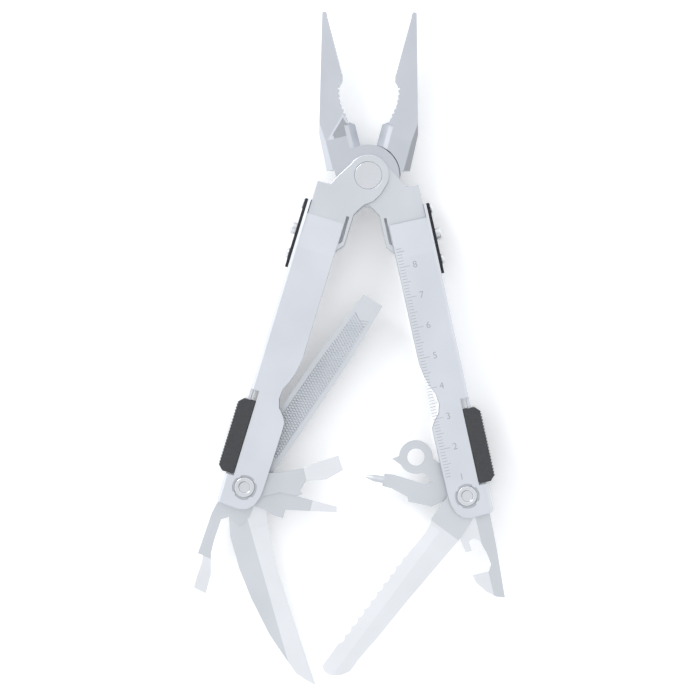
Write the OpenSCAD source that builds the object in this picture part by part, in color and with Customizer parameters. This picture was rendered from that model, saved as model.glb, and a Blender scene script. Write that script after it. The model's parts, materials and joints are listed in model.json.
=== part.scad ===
// One-hand multi tool with a retracting needle-nose head, shown open with every tool fanned out.
// It lies flat: X across, Y towards the jaw tips, Z up from the surface it rests on.
// All lengths are in millimetres and all angles in degrees.

/* [Handles] */
// lean of the left handle from upright
left_tilt = 16.9; // [10:0.1:25]
// lean of the right handle from upright
right_tilt = 12.4; // [8:0.1:20]
// overall thickness of a handle
handle_t = 14.8; // [12:0.1:18]
// sheet thickness of the folded handle channel
wall = 1.1; // [0.8:0.1:1.6]
// width of the flattened bend between the spine and a plate
bend = 0.9; // [0.4:0.1:1.2]
// outer face of the spine, measured from the pivot line
spine_u = 16; // [14:0.1:20]
// length of a handle below the main pivot
handle_w = 112.8; // [100:0.1:125]
// radius of the front hole round each tool nut
nut_hole_r = 3.9; // [3.5:0.1:4.5]

/* [Head] */
// radius of the lapped discs round the main pivot
disc_r = 9.9; // [8:0.1:12]
// radius of the main pivot pin
pin_r = 3; // [2:0.1:4]
// length of the jaws above the pivot
jaw_l = 54.1; // [40:0.1:65]
// turn of the left jaw from upright
left_jaw_turn = 14.2; // [0:0.1:15]
// turn of the right jaw from upright
right_jaw_turn = 15.1; // [0:0.1:16]
// pitch of the fine teeth on the jaw tips
tooth_pitch = 1.2; // [0.8:0.1:2]

/* [Tools] */
// distance of the tool bolts from the pivot line
bolt_u = 8.8; // [7:0.1:11]
// distance of the tool bolts below the pivot
bolt_w = 106.1; // [95:0.1:115]
// radius of the tool bolts
bolt_r = 1.8; // [1.5:0.1:2.5]
// direction of the file, clockwise from upright
file_a = 34.7; // [16.9:0.1:40]
// direction of the large driver
large_a = 76; // [16.9:0.1:196.9]
// direction of the small driver
small_a = 104; // [16.9:0.1:196.9]
// direction of the medium driver
medium_a = 203.3; // [16.9:0.1:203.3]
// direction of the knife
knife_a = 160.4; // [120:0.1:196.9]
// direction of the serrated blade
serrated_a = 143.3; // [120:0.1:192.4]
// direction of the can opener
can_a = 198; // [12.4:0.1:198]
// direction of the cross driver
cross_a = 79.4; // [12.4:0.1:192.4]
// direction of the lanyard ring
ring_a = 52.9; // [12.4:0.1:192.4]
// radius of the lanyard hole
ring_hole_r = 2.7; // [2:0.1:3.5]

/* [Hidden] */
$fn = 64;
mid = handle_t / 2;
inner = mid - wall;
run_gap = 0.05;
arm_t = 1.1;
left_arm_z = inner - 0.1 - arm_t;
right_arm_z = left_arm_z - 0.1 - arm_t;
jaw_z = right_arm_z - 0.05;
shift_x = 6.06;
shift_y = 54.99;
steel = [0.72, 0.75, 0.79];
dark = [0.09, 0.09, 0.1];

// ---- frames ----

// draws its children given in (u, w): u out from the pivot line, w down along the left handle
module left_frame() {
  translate([shift_x, shift_y, 0])
    rotate([0, 0, -left_tilt])
      mirror([1, 0, 0])
        mirror([0, 1, 0])
          children();
}

// the same for the right handle
module right_frame() {
  translate([shift_x, shift_y, 0])
    rotate([0, 0, right_tilt])
      mirror([0, 1, 0])
        children();
}

// puts a tool drawn along +Y from its bolt at its own direction on the left handle
module left_tool(a) {
  left_frame()
    translate([bolt_u, bolt_w, 0])
      mirror([0, 1, 0])
        mirror([1, 0, 0])
          rotate([0, 0, left_tilt - a])
            children();
}

// the same on the right handle, with directions counted anticlockwise
module right_tool(a) {
  right_frame()
    translate([bolt_u, bolt_w, 0])
      mirror([0, 1, 0])
        rotate([0, 0, a - right_tilt])
          children();
}

// ---- helpers ----

// a flat plate of thickness t centred on height z above the middle plane
module layer(z, t) {
  translate([0, 0, mid + z - t / 2])
    linear_extrude(t)
      union() {
        children();
      }
}

// a tool blank: its pivot disc and its outline, joined
module blank(z, t) {
  union() {
    translate([0, 0, mid + z - t / 2])
      cylinder(r = 4.9, h = t);
    layer(z, t)
      children();
  }
}

// a vertical shaft
module shaft(r, z0, z1) {
  translate([0, 0, z0])
    cylinder(r = r, h = z1 - z0);
}

// a plane grind: takes a wedge off both faces, from the line p0-p1 to the edge; side = 1 is left
module grind(p0, p1, z, t, side, width, edge_t) {
  along = atan2(p1[1] - p0[1], p1[0] - p0[0]);
  l = norm([p1[0] - p0[0], p1[1] - p0[1]]);
  d = (t - edge_t) / 2;
  for (face = [0, 1])
    translate([p0[0], p0[1], mid + z])
      rotate([0, 0, along])
        mirror([0, 0, face])
          translate([0, 0, t / 2])
            rotate([90, 0, 90])
              linear_extrude(l)
                polygon([[0, 0.1], [0, 0], [side * width, -d], [side * (width + 6), -d],
                  [side * (width + 6), 0.1]]);
}

// the hollow of a folded channel: open towards u = 0 and at the foot
module channel_hollow() {
  translate([0, 0, wall])
    linear_extrude(handle_t - 2 * wall)
      polygon([[-2, 10], [spine_u - 0.9, 10], [spine_u - 0.9, 99], [spine_u + 2, 99],
        [spine_u + 2, 120], [-2, 120]]);
}

// ---- handles ----

module handle_outline() {
  polygon([[3, 17], [spine_u - 0.9, 17], [spine_u - 0.9, 12.5], [spine_u, 12.5],
    [spine_u, handle_w - 0.8], [spine_u - 0.6, handle_w], [8.6, handle_w + 0.4],
    [6.1, handle_w - 0.3], [4.3, handle_w - 2], [3.2, handle_w - 5], [2.9, 105],
    [2.6, 84.7], [2.7, 82.8], [3.9, 80.8], [5.7, 78.7], [6.5, 75.9], [6.2, 72.7], [4.6, 69.2],
    [3.6, 65.6], [3, 62]]);
}

module handle() {
  difference() {
    linear_extrude(handle_t)
      handle_outline();
    channel_hollow();
    // shallow coined ramp at the top of both outer faces
    for (face = [0, 1])
      translate([0, 0, face * handle_t])
        mirror([0, 0, face])
          rotate([90, 0, 90])
            linear_extrude(spine_u - 0.9)
              polygon([[10, -1], [28, -1], [28, 0], [17, 0.55], [10, 0.55]]);
    // the bends between the spine and both plates
    for (face = [0, 1])
      translate([spine_u, 10, face * handle_t])
        rotate([0, 45, 0])
          translate([-bend * 0.7, 0, -bend * 0.7])
            cube([bend * 1.4, 110, bend * 1.4]);
    // notches for the cheeks of the lock slide
    for (z = [-1, handle_t - wall])
      translate([spine_u - 2.8, 75.5, z])
        cube([6, 28, wall + 1]);
    // hole of the tool bolt's head at the back, and of the nut at the front
    translate([bolt_u, bolt_w, 0]) {
      shaft(3.2, -1, wall + 0.5);
      shaft(nut_hole_r, handle_t - wall - 0.5, handle_t + 1);
    }
    // bores of the release button and of the two plate screws
    spine_hole(22.7, 2.05);
    spine_hole(14.3, 0.9);
    spine_hole(30.8, 0.9);
  }
  // four small tabs reach in round the nut
  for (i = [0:3])
    translate([bolt_u, bolt_w, handle_t - wall])
      rotate([0, 0, 45 + 90 * i])
        translate([3.5, -0.6, 0])
          cube([0.6, 1.2, wall]);
}

module spine_hole(w, r) {
  translate([spine_u - 2, w, mid])
    rotate([0, 90, 0])
      cylinder(r = r, h = 4);
}

module left_handle() {
  color(steel)
    left_frame()
      handle();
}

module right_handle() {
  color(steel)
    right_frame()
      handle();
}

// ---- tang frames: two arms joined by a web, sliding in the handle channel ----

module arm_outline() {
  circle(r = 6.6);
  polygon([[-6.3, 1.9], [-5.6, 4.6], [-3.9, 7.6], [-1.6, 9.3], [0.1, 12], [0.8, 13.4],
    [0.8, 23.5], [3, 26.2], [4.8, 29], [4.8, 60], [15, 60], [15, 6.2], [11.5, 6.2], [10.7, 5.9],
    [9.4, 3.2], [4.9, -4.4]]);
}

module tang(z, bore) {
  difference() {
    union() {
      for (s = [-1, 1])
        layer(s * (z + arm_t / 2), arm_t)
          arm_outline();
      translate([14.1, 6.2, mid - z])
        cube([0.9, 53.8, 2 * z]);
    }
    shaft(bore, -1, handle_t + 1);
    // narrow slot in the front arm beside the handle's inner edge
    translate([0, 0, mid + z - 0.5])
      linear_extrude(arm_t + 1)
        polygon([[1.9, 14.4], [2.7, 14.4], [2.7, 23.4], [1.9, 22.6]]);
    // slot that the release button reaches into
    translate([13, 8.4, mid - 2.4])
      cube([3, 17, 4.8]);
  }
}

module left_tang() {
  color(steel * 0.97)
    left_frame()
      tang(left_arm_z, 4.35);
}

module right_tang() {
  color(steel * 0.97)
    right_frame()
      tang(right_arm_z, pin_r + run_gap);
}

// ---- jaws: the left one is drawn, closed, with its gripping face on x = 0 ----

module jaw_nose() {
  intersection() {
    linear_extrude(handle_t)
      difference() {
        polygon([[-0.05, jaw_l - 0.7], [-0.3, jaw_l], [-1.4, jaw_l], [-5.4, 39.8], [-11.9, 16.7],
          [-12.4, 5], [-10, 4.3], [-9.9, 1], [-0.05, 1], [-0.05, 17], [-2, 18.2], [-2.2, 20.7],
          [-2.9, 24.1], [-2.4, 28.1], [-1.6, 30.1], [-0.5, 31.1], [-0.05, 33]]);
        // fine teeth on the tip and coarse teeth in the pipe grip
        for (i = [0:15])
          translate([-0.05, 34 + i * tooth_pitch])
            rotate(45)
              square(0.55, center = true);
        for (i = [0:6])
          translate([-2.15 - 0.55 * sin(180 * i / 6), 20 + i * 1.55])
            rotate(45)
              square(0.8, center = true);
      }
    // the nose gets thinner towards the tip
    rotate([90, 0, 90])
      translate([0, 0, -20])
        linear_extrude(25)
          polygon([[-20, mid - jaw_z], [14, mid - jaw_z], [jaw_l + 1, mid - 1.3],
            [jaw_l + 1, mid + 1.3], [14, mid + jaw_z], [-20, mid + jaw_z]]);
    // long bevel down the outer edge
    rotate([90, 0, 0])
      translate([0, 0, -60])
        linear_extrude(80)
          polygon([[1, mid - 5], [-9, mid - 5], [-13, mid - 1.8], [-13, mid + 1.8], [-9, mid + 5],
            [1, mid + 5]]);
  }
}

// half of the lap joint; front = 1 for the jaw whose disc is in front
module jaw(front, reach) {
  z0 = front == 1 ? 0.05 : -jaw_z;
  z1 = front == 1 ? jaw_z : -0.05;
  difference() {
    union() {
      difference() {
        jaw_nose();
        // the wire cutter is ground thin from a step in each face
        for (face = [-1, 1])
          translate([0, 17.6, mid])
            rotate([90, 0, 0])
              linear_extrude(9)
                polygon([[-3.6, face * 5], [-3.6, face * 2.6], [-2.2, face * 2.2],
                  [0.1, face * 0.25], [0.1, face * 5]]);
        // room for the other jaw's disc
        shaft(disc_r + 0.35, front == 1 ? -1 : mid - 0.05, front == 1 ? mid + 0.05 : handle_t + 1);
      }
      shaft(disc_r, mid + z0, mid + z1);
    }
    shaft(pin_r + run_gap, -1, handle_t + 1);
  }
}

// foot that joins a jaw's disc to the arms of its own tang frame
module jaw_foot(front, z) {
  z0 = front == 1 ? 0.05 : -jaw_z;
  z1 = front == 1 ? jaw_z : -0.05;
  translate([0, 0, mid + z0])
    linear_extrude(z1 - z0)
      polygon([[8.2, 5], [14, 6.6], [14, 9.6], [11, 10], [6, 7.6]]);
  translate([0, 0, mid - z])
    linear_extrude(2 * z)
      polygon([[10.6, 6.4], [14.1, 6.4], [14.1, 10.2], [11.4, 10.2], [10.4, 9]]);
}

module left_jaw() {
  color(steel * 0.94) {
    translate([shift_x, shift_y, 0])
      rotate([0, 0, left_jaw_turn])
        jaw(1);
    right_frame()
      jaw_foot(1, right_arm_z);
  }
}

module right_jaw() {
  color(steel * 0.94) {
    translate([shift_x, shift_y, 0])
      rotate([0, 0, -right_jaw_turn])
        mirror([1, 0, 0])
          jaw(0);
    left_frame()
      jaw_foot(0, left_arm_z);
  }
}

module pivot_pin() {
  color(steel * 1.08)
    left_frame() {
      shaft(pin_r, mid - left_arm_z, mid + left_arm_z);
      shaft(4.34, mid - left_arm_z - arm_t, mid - left_arm_z);
      shaft(4.34, mid + left_arm_z, mid + left_arm_z + arm_t);
    }
}

// ---- tool bolts, nuts and spacers ----

module bolt() {
  translate([bolt_u, bolt_w, 0]) {
    shaft(3.19, 0.1, wall);
    shaft(bolt_r, wall, handle_t - 0.6);
  }
}

module nut() {
  translate([bolt_u, bolt_w, 0])
    difference() {
      shaft(3.2, handle_t - wall - 0.4, handle_t + 0.1);
      shaft(bolt_r, 0, handle_t + 1);
    }
}

module spacers(r) {
  translate([bolt_u, bolt_w, 0])
    difference() {
      union() {
        shaft(r, wall, mid - 3.6);
        shaft(r, mid + 3.6, handle_t - wall - 0.4);
      }
      shaft(bolt_r, 0, handle_t);
    }
}

module left_bolt() {
  color(steel * 1.1)
    left_frame()
      bolt();
}

module right_bolt() {
  color(steel * 1.1)
    right_frame()
      bolt();
}

module left_nut() {
  color(steel * 1.12)
    left_frame()
      nut();
}

module right_nut() {
  color(steel * 1.12)
    right_frame()
      nut();
}

module left_spacers() {
  color(steel * 0.9)
    left_frame()
      spacers(4.5);
}

module right_spacers() {
  color(steel * 0.9)
    right_frame()
      spacers(4.5);
}

// ---- tools on the left bolt, front to back ----

module bore() {
  shaft(bolt_r + run_gap, -1, handle_t + 1);
}

module large_driver() {
  color(steel)
    left_tool(large_a)
      difference() {
        blank(2.9, 1.2) {
          polygon([[-4.4, 2], [-1.9, 11.7], [-1.3, 19.6], [-2, 22.9], [-2.6, 31.3], [2.3, 31.7],
            [3.9, 25.7], [2.7, 19.4], [5.3, 16.8], [6.5, 17.4], [6.8, 15.4], [4.4, 10.4],
            [4.6, 1.6]]);
        }
        bore();
        // ground thinner towards the tip
        for (face = [0, 1])
          translate([0, 0, mid + 2.9])
            mirror([0, 0, face])
              rotate([90, 0, 90])
                translate([0, 0, -9])
                  linear_extrude(18)
                    polygon([[19.6, 0.7], [19.6, 0.6], [33, 0.3], [33, 0.7]]);
      }
}

module small_driver() {
  color(steel)
    left_tool(small_a)
      difference() {
        blank(1.63, 1.1) {
          polygon([[-4.6, 1.6], [-4.4, 7.1], [-5.6, 9.8], [-1.2, 10.6], [-1.1, 16.9], [-1, 29.9],
            [0.8, 30.4], [1.8, 25], [3.9, 14.3], [6.7, 14.2], [6.6, 11.2], [5.4, 8], [4.7, 1.4]]);
        }
        bore();
        for (face = [0, 1])
          translate([0, 0, mid + 1.63])
            mirror([0, 0, face])
              rotate([90, 0, 90])
                translate([0, 0, -9])
                  linear_extrude(18)
                    polygon([[22, 0.7], [22, 0.55], [32, 0.3], [32, 0.7]]);
      }
}

module file() {
  color(steel * 0.96)
    left_tool(file_a)
      difference() {
        blank(0.16, 1.6) {
          polygon([[-4.7, 1.4], [-4.9, 16], [-4.8, 26.4], [-5, 45.7], [-3.8, 71.9], [3.3, 72.2],
            [4.6, 52.8], [4.9, 25.1], [4.9, 10.6], [4.8, 1]]);
        }
        bore();
      }
}

module medium_driver() {
  color(steel)
    left_tool(medium_a)
      difference() {
        blank(-1.31, 1.1) {
          polygon([[-4.8, 1], [-5.1, 8.4], [-3.4, 12.4], [0.9, 10.8], [2.9, 12.6], [2.3, 19.6],
            [1.6, 23.8], [-1.1, 30], [-2, 36.2], [2.3, 36], [2.8, 32.4], [3.1, 27.6], [3.7, 25.3],
            [5.4, 25.5], [6.4, 11.8], [6.1, 8], [4.8, 1]]);
        }
        bore();
      }
}

module knife_blade() {
  color(steel * 1.03)
    left_tool(knife_a)
      difference() {
        blank(-2.73, 1.5) {
          polygon([[4.9, 0.5], [7.4, 4.4], [8.2, 7.8], [9.8, 13.3], [10.5, 23.8], [10.1, 34.1],
            [8.5, 46.9], [6.4, 55.3], [4.6, 61.7], [2.2, 64.9], [0, 67.3], [0, 60.1],
            [-0.2, 51], [-0.5, 41.5], [-0.8, 29.3], [-2.6, 15.7], [-3.1, 12.8], [-4, 8],
            [-4.8, 1]]);
        }
        bore();
        // plane grind from the back third to the edge
        grind([3, 13.6], [6.6, 70], -2.73, 1.5, 1, 5.4, 0.2);
      }
}

// ---- tools on the right bolt, front to back; x counts to the right of the tool's direction ----

module serrated_blade() {
  color(steel * 1.03)
    right_tool(serrated_a)
      difference() {
        blank(2.8, 1.4) {
          difference() {
            polygon([[4.9, 0.5], [4.7, 12.4], [4, 14], [3.6, 17.2], [3.8, 22.1], [4.6, 29.1],
              [4.7, 40.3], [4.8, 50.8], [4.7, 59.1], [4.6, 71], [3.1, 71.9], [0.8, 71.8],
              [-2, 69.7], [-3.6, 66.9], [-3.5, 62.6], [-4.3, 50.8], [-4.8, 38], [-5.7, 24.2],
              [-6.4, 12.9], [-6, 6], [-4.9, 1]]);
            // scallops along the edge
            for (i = [0:12])
              translate([5.9, 19.6 + 3.4 * i])
                circle(r = 1.95, $fn = 24);
          }
        }
        bore();
        grind([0.2, 14], [0.2, 74], 2.8, 1.4, -1, 4.4, 0.25);
      }
}

module can_opener() {
  color(steel)
    right_tool(can_a)
      difference() {
        blank(1.28, 1.4) {
          polygon([[-4.9, 0.5], [-5.2, 7.8], [-4, 17.9], [-1.5, 34.6], [1.1, 33.4], [3.6, 30.9],
            [5.8, 27.1], [6.1, 24.6], [3.7, 24.8], [0.8, 25.1], [-0.6, 23.2], [-0.4, 19.4],
            [0.5, 15.1], [2.1, 13.6], [3.9, 14], [3.9, 17.3], [5.9, 17], [6.3, 13.2], [5, 1]]);
        }
        bore();
      }
}

module lanyard_ring() {
  color(steel)
    right_tool(ring_a)
      difference() {
        union() {
          blank(-0.24, 1.4)
            polygon([[-4.8, 1], [-3.4, 10], [-2.6, 14.9], [-3.2, 18], [-4.8, 20.5], [-5, 26.1],
              [-2, 24.2], [2, 22], [3, 17], [2.9, 14], [3.2, 11], [4.8, 1]]);
          translate([0, 20.3, 0])
            shaft(5.4, mid - 0.94, mid + 0.46);
        }
        bore();
        translate([0, 20.3, 0])
          shaft(ring_hole_r, 0, handle_t);
      }
}

module cross_driver() {
  color(steel)
    right_tool(cross_a)
      difference() {
        union() {
          blank(-2.16, 2.2) {
            polygon([[-4.8, 1], [-3.4, 7.2], [-5.6, 10.3], [-5.4, 17.9], [-3.9, 18.5],
              [-2.2, 24], [-2, 27], [2, 27], [2.2, 24], [1, 14], [3.6, 9.8], [4.6, 7.6], [4.8, 1]]);
          }
          // round fluted tip
          translate([0, 26, mid - 2.16])
            rotate([-90, 0, 0])
              cylinder(r1 = 1.1, r2 = 1.1, h = 4);
          translate([0, 30, mid - 2.16])
            rotate([-90, 0, 0])
              cylinder(r1 = 1.1, r2 = 0.4, h = 2.6);
        }
        bore();
        // four flutes
        for (i = [0:3])
          translate([0, 26.5, mid - 2.16])
            rotate([0, 45 + 90 * i, 0])
              translate([0.42, 0, 0])
                rotate([0, 45, 0])
                  cube([1.4, 8, 1.4]);
      }
}

// ---- lock slides, release plates, buttons and screws ----

module lock() {
  difference() {
    translate([spine_u - 2.6, 79, 0.05])
      cube([5.4, 24, handle_t + 0.35]);
    // room for the handle's spine
    translate([spine_u - 4, 70, wall - 0.05])
      cube([4.05, 40, handle_t - 2 * wall + 0.1]);
    // ribs across the spine
    for (i = [0:22])
      translate([spine_u + 2.8, 80.1 + 0.99 * i, -1])
        cylinder(r = 0.33, h = handle_t + 3, $fn = 6);
    // rounded ends
    for (w = [79, 103])
      translate([spine_u + 2.8, w, -1])
        rotate([0, 0, 45])
          cube([2.4, 2.4, 2 * handle_t + 4], center = true);
  }
}

module left_lock() {
  color(dark)
    left_frame()
      lock();
}

module right_lock() {
  color(dark)
    right_frame()
      lock();
}

module plate() {
  difference() {
    union() {
      translate([spine_u, 14.5, mid - 5])
        cube([1, 18.8, 10]);
      translate([spine_u, 12.5, mid - 3])
        cube([1, 22.8, 6]);
    }
    spine_hole_long(22.7, 2.05);
    spine_hole_long(14.3, 0.9);
    spine_hole_long(30.8, 0.9);
  }
}

module spine_hole_long(w, r) {
  translate([spine_u - 2, w, mid])
    rotate([0, 90, 0])
      cylinder(r = r, h = 6);
}

module button() {
  translate([spine_u - 0.7, 22.7, mid])
    rotate([0, 90, 0]) {
      cylinder(r = 2, h = 3.2);
      translate([0, 0, 3.2])
        cylinder(r1 = 2, r2 = 1.5, h = 0.5);
    }
}

module plate_screws() {
  for (w = [14.3, 30.8])
    translate([spine_u - 0.9, w, mid])
      rotate([0, 90, 0]) {
        cylinder(r = 0.9, h = 1.9);
        translate([0, 0, 1.9])
          cylinder(r = 1.7, h = 0.5);
        translate([0, 0, 2.4])
          cylinder(r1 = 1.7, r2 = 0.9, h = 0.6);
      }
}

module left_plate() {
  color(dark)
    left_frame()
      plate();
}

module right_plate() {
  color(dark)
    right_frame()
      plate();
}

module left_button() {
  color(steel * 1.1)
    left_frame()
      button();
}

module right_button() {
  color(steel * 1.1)
    right_frame()
      button();
}

module left_plate_screws() {
  color(steel * 1.08)
    left_frame()
      plate_screws();
}

module right_plate_screws() {
  color(steel * 1.08)
    right_frame()
      plate_screws();
}

left_handle();
right_handle();
left_tang();
right_tang();
left_jaw();
right_jaw();
pivot_pin();
left_bolt();
right_bolt();
left_nut();
right_nut();
left_spacers();
right_spacers();
file();
large_driver();
small_driver();
medium_driver();
knife_blade();
serrated_blade();
can_opener();
cross_driver();
lanyard_ring();
left_lock();
right_lock();
left_plate();
right_plate();
left_button();
right_button();
left_plate_screws();
right_plate_screws();
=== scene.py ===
import json
import math

import bmesh
import bpy
from mathutils import Matrix, Vector


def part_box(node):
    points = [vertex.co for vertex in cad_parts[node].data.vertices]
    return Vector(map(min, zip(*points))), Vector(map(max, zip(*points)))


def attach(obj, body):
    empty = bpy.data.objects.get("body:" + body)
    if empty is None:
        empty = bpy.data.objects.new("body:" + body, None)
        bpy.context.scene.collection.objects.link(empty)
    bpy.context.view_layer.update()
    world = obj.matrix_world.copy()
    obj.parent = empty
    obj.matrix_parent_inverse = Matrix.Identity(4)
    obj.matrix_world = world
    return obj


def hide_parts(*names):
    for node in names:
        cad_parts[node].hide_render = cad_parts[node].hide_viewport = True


MM = 0.001
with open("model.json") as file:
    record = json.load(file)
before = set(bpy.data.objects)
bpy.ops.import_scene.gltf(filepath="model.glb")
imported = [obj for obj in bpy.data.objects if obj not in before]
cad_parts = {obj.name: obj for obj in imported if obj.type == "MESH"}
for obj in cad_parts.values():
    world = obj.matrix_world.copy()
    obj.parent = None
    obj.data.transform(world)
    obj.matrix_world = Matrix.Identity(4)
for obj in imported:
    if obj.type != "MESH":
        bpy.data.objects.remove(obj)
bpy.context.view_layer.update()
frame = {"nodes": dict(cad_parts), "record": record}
joints = {j["name"]: j for j in frame["record"]["behaviour"]["joints"]}


# ---- Folded handles ----
# Each handle is one sheet of stainless steel folded into a channel, bead-blasted to an even
# pale satin. Its cut edges are tumbled, so they catch the light as a thin line.
CLOUD_SCALE, CLOUD_DARK = 60, 0.94
MERGE_WITHIN = 0.002 * MM
FLAT_WITHIN = math.radians(0.6)
ROUNDED_FROM = math.radians(32)


def satin_steel(name, colour, roughness, grain_deg=0.0, stretch=1.0, grain=1400, depth=0.012):
    """Steel whose grain runs along grain_deg from +X and is stretch times longer than wide."""
    made = bpy.data.materials.new(name)
    made.use_nodes = True
    nodes, links = made.node_tree.nodes, made.node_tree.links
    shader = nodes["Principled BSDF"]
    shader.inputs["Metallic"].default_value = 1.0
    place = nodes.new("ShaderNodeTexCoord")
    turn = nodes.new("ShaderNodeMapping")
    turn.vector_type = "TEXTURE"
    turn.inputs["Rotation"].default_value = (0, 0, math.radians(grain_deg))
    turn.inputs["Scale"].default_value = (stretch, 1, 1)
    fine = nodes.new("ShaderNodeTexNoise")
    fine.inputs["Scale"].default_value = grain
    fine.inputs["Detail"].default_value = 3
    links.new(place.outputs["Object"], turn.inputs["Vector"])
    links.new(turn.outputs["Vector"], fine.inputs["Vector"])
    rough = nodes.new("ShaderNodeMapRange")
    rough.inputs["To Min"].default_value = roughness - 0.05
    rough.inputs["To Max"].default_value = roughness + 0.06
    links.new(fine.outputs["Fac"], rough.inputs["Value"])
    links.new(rough.outputs["Result"], shader.inputs["Roughness"])
    broad = nodes.new("ShaderNodeTexNoise")
    broad.inputs["Scale"].default_value = CLOUD_SCALE
    tint = nodes.new("ShaderNodeValToRGB")
    tint.color_ramp.elements[0].position = 0.3
    tint.color_ramp.elements[1].position = 0.7
    tint.color_ramp.elements[0].color = (*[c * CLOUD_DARK for c in colour], 1)
    tint.color_ramp.elements[1].color = (*colour, 1)
    links.new(place.outputs["Object"], broad.inputs["Vector"])
    links.new(broad.outputs["Fac"], tint.inputs["Fac"])
    links.new(tint.outputs["Color"], shader.inputs["Base Color"])
    bump = nodes.new("ShaderNodeBump")
    bump.inputs["Strength"].default_value = 0.25
    bump.inputs["Distance"].default_value = depth * MM
    links.new(fine.outputs["Fac"], bump.inputs["Height"])
    links.new(bump.outputs["Normal"], shader.inputs["Normal"])
    return made


def tumbled(node, body, width_mm, finish, segments=2, smooth_deg=28, zone=None, painted_highlight=None):
    """Replaces the node with a copy whose sharp edges are rounded off by width_mm. A zone is
    a point and a direction: faces past the point in that direction take the second material,
    a lighter copy of the finish painted on as a highlight."""
    source = frame["nodes"][node].data
    shape = bmesh.new()
    shape.from_mesh(source)
    bmesh.ops.remove_doubles(shape, verts=shape.verts, dist=MERGE_WITHIN)
    bmesh.ops.dissolve_limit(
        shape, angle_limit=FLAT_WITHIN, verts=shape.verts, edges=shape.edges
    )
    if zone:
        point, outward = zone
        everything = shape.verts[:] + shape.edges[:] + shape.faces[:]
        bmesh.ops.bisect_plane(shape, geom=everything, plane_co=point, plane_no=outward)
        for face in shape.faces:
            if (face.calc_center_median() - point).dot(outward) > 0:
                face.material_index = 1
    mesh = bpy.data.meshes.new(node + "_tumbled")
    shape.to_mesh(mesh)
    shape.free()
    piece = bpy.data.objects.new(node + "_tumbled", mesh)
    bpy.context.collection.objects.link(piece)
    mesh.materials.append(finish)
    if zone:
        mesh.materials.append(painted_highlight)
    mesh.shade_smooth()
    mesh.set_sharp_from_angle(angle=math.radians(smooth_deg))
    edge = piece.modifiers.new("edge", "BEVEL")
    edge.width = width_mm * MM
    edge.segments = segments
    edge.limit_method = "ANGLE"
    edge.angle_limit = ROUNDED_FROM
    edge.harden_normals = True
    edge.use_clamp_overlap = True
    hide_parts(node)
    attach(piece, body)


blasted = satin_steel("blasted_handle_steel", (0.68, 0.70, 0.74), 0.44)
for side in ("left", "right"):
    tumbled(side + "_handle", side + "_handle", 0.25, blasted, smooth_deg=1.5)


# ---- Tang frames ----
# Two stamped arms and a web carry each jaw and slide in the handle. They are tumbled steel, a
# little darker than the handles because they rub in the channel.
slid_steel = satin_steel("tang_frame_steel", (0.66, 0.68, 0.71), 0.38, 75, 6)
for tang in ("left_tang", "right_tang"):
    tumbled(tang, tang, 0.24, slid_steel)


# ---- Jaws and their pin ----
# The jaws are forged and then ground along their length, which leaves fine lines. A riveted
# pin with a polished head holds their lapped discs together.
ground_jaw = satin_steel("ground_jaw_steel", (0.60, 0.62, 0.66), 0.32, 90, 10, 2200, 0.02)
pin_steel = satin_steel("polished_pin_steel", (0.72, 0.73, 0.75), 0.25)
tumbled("left_jaw", "right_tang", 0.15, ground_jaw, smooth_deg=2)
tumbled("right_jaw", "left_tang", 0.15, ground_jaw, smooth_deg=2)
tumbled("pivot_pin", "left_tang", 0.18, pin_steel)


# ---- Bolts, nuts and spacers ----
# A steel bolt runs through each stack of tools, with a round nut sunk in the front of the
# handle. Plain spacers fill the channel on both sides of the stack.
for side in ("left", "right"):
    tumbled(side + "_bolt", side + "_handle", 0.15, pin_steel)
    tumbled(side + "_nut", side + "_handle", 0.3, pin_steel, 3)
    tumbled(side + "_spacers", side + "_handle", 0.1, slid_steel)


# ---- Drivers, openers and lanyard ring ----
# The small tools are stamped from hardened sheet and tumbled, so their edges are soft. The
# driver tips and the can opener's hook are ground afterwards, and their ground parts take a
# much lighter steel colour, a painted highlight for the light that their slopes catch.
stamped = satin_steel("stamped_tool_steel", (0.66, 0.68, 0.71), 0.34, 0, 3)
tool_bevel_painted_highlight = satin_steel("ground_tool_steel_painted_highlight", (0.86, 0.87, 0.89), 0.30, 0, 3)


def reach(joint, side, lean_deg, across, along):
    """A point on a tool that leans lean_deg from upright, in mm along it from its bolt and
    across to its right, with the directions along and to the right."""
    lean = math.radians(lean_deg) * side
    way = Vector((math.sin(lean), math.cos(lean), 0))
    right = Vector((way.y, -way.x, 0))
    return Vector(joints[joint]["pos_m"]) + (way * along + right * across) * MM, way, right


for tool, lean, ground_from in (
    ("large_driver", 76, 19.6),
    ("small_driver", 104, 22),
    ("medium_driver", 203.3, 25.4),
):
    start, way, right = reach(tool + "_hinge", 1, lean, 0, ground_from)
    tumbled(tool, tool, 0.15, stamped, smooth_deg=1, zone=(start, way), painted_highlight=tool_bevel_painted_highlight)
start, way, right = reach("can_opener_hinge", -1, 198, 1.2, 28)
hook_out = (right - way * 0.08).normalized()
tumbled("can_opener", "can_opener", 0.15, stamped, zone=(start, hook_out), painted_highlight=tool_bevel_painted_highlight)
tumbled("cross_driver", "cross_driver", 0.12, stamped)
tumbled("lanyard_ring", "lanyard_ring", 0.18, stamped)
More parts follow.
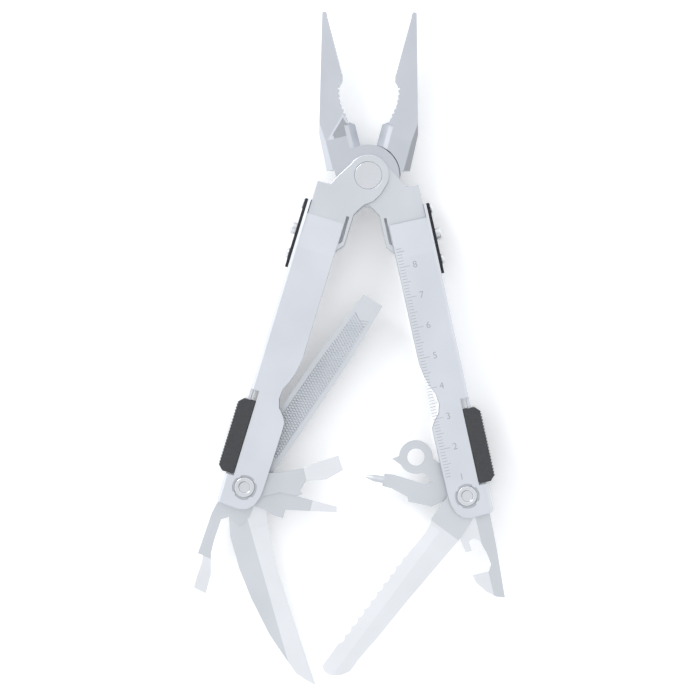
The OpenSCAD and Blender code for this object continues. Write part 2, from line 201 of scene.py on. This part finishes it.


# ---- Blades ----
# Both blades are stainless steel with a fine grain across the blade. The knife is ground flat
# from its back third to the edge, and that bevel is coloured lighter than the back, a painted
# highlight for the light the bevel catches. The serrated blade past its root takes the same
# painted highlight.
ground_blade = satin_steel("ground_blade_steel", (0.70, 0.72, 0.75), 0.32, 20, 8, 2000)
serrated_steel = satin_steel("serrated_blade_steel", (0.70, 0.72, 0.75), 0.32, 140, 8, 2000)
blade_bevel_painted_highlight = satin_steel("ground_edge_steel_painted_highlight", (0.86, 0.87, 0.89), 0.30, 20, 8, 2000)
start, way, right = reach("knife_hinge", 1, 160.4, 3.0, 13.6)
BEVEL_SPREAD, BEVEL_LENGTH = 3.6, 56.4
edge_side = (-right + way * (BEVEL_SPREAD / BEVEL_LENGTH)).normalized()
tumbled(
    "knife_blade",
    "knife_blade",
    0.06,
    ground_blade,
    smooth_deg=1.5,
    zone=(start, edge_side),
    painted_highlight=blade_bevel_painted_highlight,
)
start, way, right = reach("serrated_hinge", -1, 143.3, 0, 13)
tumbled(
    "serrated_blade",
    "serrated_blade",
    0.06,
    serrated_steel,
    smooth_deg=1.5,
    zone=(start, way),
    painted_highlight=blade_bevel_painted_highlight,
)


# ---- File ----
# A flat file cut with two crossing rows of teeth on both faces. The tip and the root are left
# smooth.
FILE_LEAN = math.radians(34.7)
FILE_FACE_Z = 1.6 / 2 * MM
TEETH_FROM, TEETH_TO, TOOTH_STEP = 12, 66, 0.95
ROW_WIDTH, ROW_TAPER_FROM, ROW_TAPER = 7.6, 45, 0.085
ROW_SLANT, TOOTH_SIZE, TOOTH_SUNK, ROW_OFF_CENTRE = 28, 0.26, 0.06, -0.1
file_steel = satin_steel("file_steel", (0.66, 0.68, 0.71), 0.40, 55, 2)
tumbled("file", "file", 0.15, file_steel)
file_bolt = Vector(joints["file_hinge"]["pos_m"])
file_low, file_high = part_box("file")
file_mid_z = (file_low[2] + file_high[2]) / 2
teeth = bmesh.new()
for slant in (-ROW_SLANT, ROW_SLANT):
    for face in (-1, 1):
        for i in range(int((TEETH_TO - TEETH_FROM) / TOOTH_STEP)):
            along = TEETH_FROM + i * TOOTH_STEP
            wide = ROW_WIDTH - max(0.0, along - ROW_TAPER_FROM) * ROW_TAPER
            out = face * (FILE_FACE_Z - TOOTH_SUNK * MM)
            place = (
                Matrix.Translation((file_bolt.x, file_bolt.y, file_mid_z))
                @ Matrix.Rotation(-FILE_LEAN, 4, "Z")
                @ Matrix.Translation((ROW_OFF_CENTRE * MM, along * MM, out))
                @ Matrix.Rotation(math.radians(slant), 4, "Z")
                @ Matrix.Rotation(math.radians(45), 4, "X")
                @ Matrix.Diagonal((wide * MM, TOOTH_SIZE * MM, TOOTH_SIZE * MM, 1))
            )
            bmesh.ops.create_cube(teeth, size=1, matrix=place)
teeth_mesh = bpy.data.meshes.new("file_teeth")
teeth.to_mesh(teeth_mesh)
teeth.free()
teeth_mesh.materials.append(file_steel)
file_teeth = bpy.data.objects.new("file_teeth", teeth_mesh)
bpy.context.collection.objects.link(file_teeth)
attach(file_teeth, "file")


# ---- Lock slides ----
# A black sleeve wraps each spine. Ribs across it give the thumb a grip.
def matt_black(name):
    made = bpy.data.materials.new(name)
    made.use_nodes = True
    nodes, links = made.node_tree.nodes, made.node_tree.links
    shader = nodes["Principled BSDF"]
    place = nodes.new("ShaderNodeTexCoord")
    speckle = nodes.new("ShaderNodeTexNoise")
    speckle.inputs["Scale"].default_value = 1800
    tint = nodes.new("ShaderNodeValToRGB")
    tint.color_ramp.elements[0].color = (0.022, 0.022, 0.024, 1)
    tint.color_ramp.elements[1].color = (0.050, 0.050, 0.054, 1)
    links.new(place.outputs["Object"], speckle.inputs["Vector"])
    links.new(speckle.outputs["Fac"], tint.inputs["Fac"])
    links.new(tint.outputs["Color"], shader.inputs["Base Color"])
    shader.inputs["Roughness"].default_value = 0.34
    return made


sleeve_black = matt_black("lock_sleeve_black")
for lock in ("left_lock", "right_lock"):
    tumbled(lock, lock, 0.12, sleeve_black)


# ---- Release plates, buttons and screws ----
# A small steel plate is screwed to the top of each spine. The button in its middle frees the
# head to slide.
# The plates are coloured near-black as painted shade for the dark gap and shadow between each
# plate and its handle.
plate_painted_shade = satin_steel("plate_steel_painted_shade", (0.05, 0.05, 0.055), 0.45)
for side in ("left", "right"):
    tumbled(side + "_plate", side + "_handle", 0.2, plate_painted_shade)
    tumbled(side + "_plate_screws", side + "_handle", 0.15, pin_steel)
    tumbled(side + "_button", side + "_button", 0.2, pin_steel, 3)


# ---- Centimetre rule ----
# Fine marks are etched along the inner edge of the right handle, long at each centimetre,
# with its numeral beside it. They are a little darker than the steel round them.
MARK_TOP_W, MARKS, MARK_H = 24.9, 76, 0.03
MARK_STEP, MARK_INNER_U, MARK_WIDE = 0.985, 3.4, 0.16
CM_LONG, HALF_CM_LONG, MM_LONG = 3.4, 2.5, 1.7
FIRST_CM, FIRST_HALF_CM, STEPS_PER_CM = 6, 1, 10
NUMERALS, NUMERAL_U, NUMERAL_SIZE = 8, 8.4, 3.0
pivot = Vector(joints["pliers_hinge"]["pos_m"])
right_up = Vector(joints["right_lock_slide"]["axis"])
right_in = Vector(joints["right_button_press"]["axis"])
handle_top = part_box("right_handle")[1][2]


def on_right_face(u, w):
    """A point on the right handle's front face, u mm out from the pivot line and w mm down."""
    spot = pivot - right_in * (u * MM) - right_up * (w * MM)
    return Vector((spot.x, spot.y, handle_top))


def etched(name):
    made = bpy.data.materials.new(name)
    made.use_nodes = True
    nodes, links = made.node_tree.nodes, made.node_tree.links
    shader = nodes["Principled BSDF"]
    place = nodes.new("ShaderNodeTexCoord")
    bite = nodes.new("ShaderNodeTexNoise")
    bite.inputs["Scale"].default_value = 900
    tint = nodes.new("ShaderNodeValToRGB")
    tint.color_ramp.elements[0].color = (0.34, 0.35, 0.37, 1)
    tint.color_ramp.elements[1].color = (0.46, 0.47, 0.49, 1)
    links.new(place.outputs["Object"], bite.inputs["Vector"])
    links.new(bite.outputs["Fac"], tint.inputs["Fac"])
    links.new(tint.outputs["Color"], shader.inputs["Base Color"])
    shader.inputs["Metallic"].default_value = 0.6
    shader.inputs["Roughness"].default_value = 0.55
    return made


etch_grey = etched("etched_mark_grey")
down_turn = math.atan2(right_up.y, right_up.x) - math.pi / 2
marks = bmesh.new()
for i in range(MARKS):
    step_in_cm = i % STEPS_PER_CM
    long = MM_LONG
    if step_in_cm == FIRST_CM:
        long = CM_LONG
    elif step_in_cm == FIRST_HALF_CM:
        long = HALF_CM_LONG
    spot = on_right_face(MARK_INNER_U + long / 2, MARK_TOP_W + i * MARK_STEP)
    bmesh.ops.create_cube(
        marks,
        size=1,
        matrix=Matrix.Translation(spot)
        @ Matrix.Rotation(down_turn, 4, "Z")
        @ Matrix.Diagonal((long * MM, MARK_WIDE * MM, MARK_H * MM, 1)),
    )
marks_mesh = bpy.data.meshes.new("rule_marks")
marks.to_mesh(marks_mesh)
marks.free()
marks_mesh.materials.append(etch_grey)
rule_marks = bpy.data.objects.new("rule_marks", marks_mesh)
bpy.context.collection.objects.link(rule_marks)
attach(rule_marks, "right_handle")

for numeral in range(1, NUMERALS + 1):
    text = bpy.data.curves.new(f"numeral_{numeral}", "FONT")
    text.body = str(numeral)
    text.size = NUMERAL_SIZE * MM
    text.extrude = MARK_H / 2 * MM
    text.align_x = text.align_y = "CENTER"
    drawn = bpy.data.objects.new(f"numeral_{numeral}_drawn", text)
    bpy.context.collection.objects.link(drawn)
    bpy.context.view_layer.update()
    figure = bpy.data.meshes.new_from_object(drawn)
    steps_down = FIRST_CM + (NUMERALS - numeral) * STEPS_PER_CM
    spot = on_right_face(NUMERAL_U, MARK_TOP_W + steps_down * MARK_STEP)
    figure.transform(Matrix.Translation(spot) @ Matrix.Rotation(down_turn, 4, "Z"))
    bpy.data.objects.remove(drawn)
    figure.materials.append(etch_grey)
    piece = bpy.data.objects.new(f"numeral_{numeral}", figure)
    bpy.context.collection.objects.link(piece)
    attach(piece, "right_handle")


# ---- Floor, light and camera ----
# A plain white floor in a soft bright room, which is dimmer to the lower right, with one
# lamp at the upper left.
floor_mesh = bpy.data.meshes.new("floor")
floor_shape = bmesh.new()
bmesh.ops.create_grid(floor_shape, x_segments=1, y_segments=1, size=3)
floor_shape.to_mesh(floor_mesh)
floor_shape.free()
paper = bpy.data.materials.new("floor_white")
paper.use_nodes = True
paper_shader = paper.node_tree.nodes["Principled BSDF"]
paper_shader.inputs["Base Color"].default_value = (0.92, 0.92, 0.92, 1)
paper_shader.inputs["Roughness"].default_value = 0.9
paper_shader.inputs["Emission Color"].default_value = (1, 1, 1, 1)
paper_shader.inputs["Emission Strength"].default_value = 0.2
floor_mesh.materials.append(paper)
floor = bpy.data.objects.new("floor", floor_mesh)
bpy.context.collection.objects.link(floor)

world = bpy.data.worlds.new("soft_room")
bpy.context.scene.world = world
world.use_nodes = True
room, room_links = world.node_tree.nodes, world.node_tree.links
room["Background"].inputs["Color"].default_value = (0.95, 0.97, 1, 1)
direction = room.new("ShaderNodeTexCoord")
lower_right = room.new("ShaderNodeVectorMath")
lower_right.operation = "DOT_PRODUCT"
lower_right.inputs[1].default_value = (0.7, -0.7, 0)


def ranged(low, high, at_low, at_high):
    """A Map Range node of the room that turns low..high into at_low..at_high."""
    made = room.new("ShaderNodeMapRange")
    made.inputs["From Min"].default_value = low
    made.inputs["From Max"].default_value = high
    made.inputs["To Min"].default_value = at_low
    made.inputs["To Max"].default_value = at_high
    return made


shade = ranged(0.35, 0.9, 1.0, 0.25)
height = room.new("ShaderNodeSeparateXYZ")
glow = ranged(1.0, 0.75, 0.95, 1.35)
both_lights = room.new("ShaderNodeMath")
both_lights.operation = "MULTIPLY"
room_links.new(direction.outputs["Generated"], lower_right.inputs[0])
room_links.new(lower_right.outputs["Value"], shade.inputs["Value"])
room_links.new(direction.outputs["Generated"], height.inputs["Vector"])
room_links.new(height.outputs["Z"], glow.inputs["Value"])
room_links.new(shade.outputs["Result"], both_lights.inputs[0])
room_links.new(glow.outputs["Result"], both_lights.inputs[1])
room_links.new(both_lights.outputs["Value"], room["Background"].inputs["Strength"])

LAMP_PLACE = Vector((-0.75, 0.8, 0.7))
lamp = bpy.data.lights.new("key_upper_left", "AREA")
lamp.size = 0.4
lamp.energy = 5
lamp_holder = bpy.data.objects.new("key_upper_left", lamp)
lamp_holder.location = LAMP_PLACE
lamp_holder.rotation_euler = (-LAMP_PLACE).to_track_quat("-Z", "Y").to_euler()
bpy.context.collection.objects.link(lamp_holder)

VIEW_WIDTH = 224 * MM
CAMERA_HEIGHT = 1.6
SENSOR_WIDTH = 36
VIEW_CENTRE_X, VIEW_CENTRE_Y = pivot.x - 5.8 * MM, pivot.y - 55.4 * MM
lens = bpy.data.cameras.new("camera")
lens.sensor_width = SENSOR_WIDTH
lens.lens = SENSOR_WIDTH * CAMERA_HEIGHT / VIEW_WIDTH
lens.clip_end = 10
camera = bpy.data.objects.new("camera", lens)
camera.location = (VIEW_CENTRE_X, VIEW_CENTRE_Y, CAMERA_HEIGHT)
bpy.context.collection.objects.link(camera)
bpy.context.scene.camera = camera
bpy.context.scene.view_settings.view_transform = "Standard"
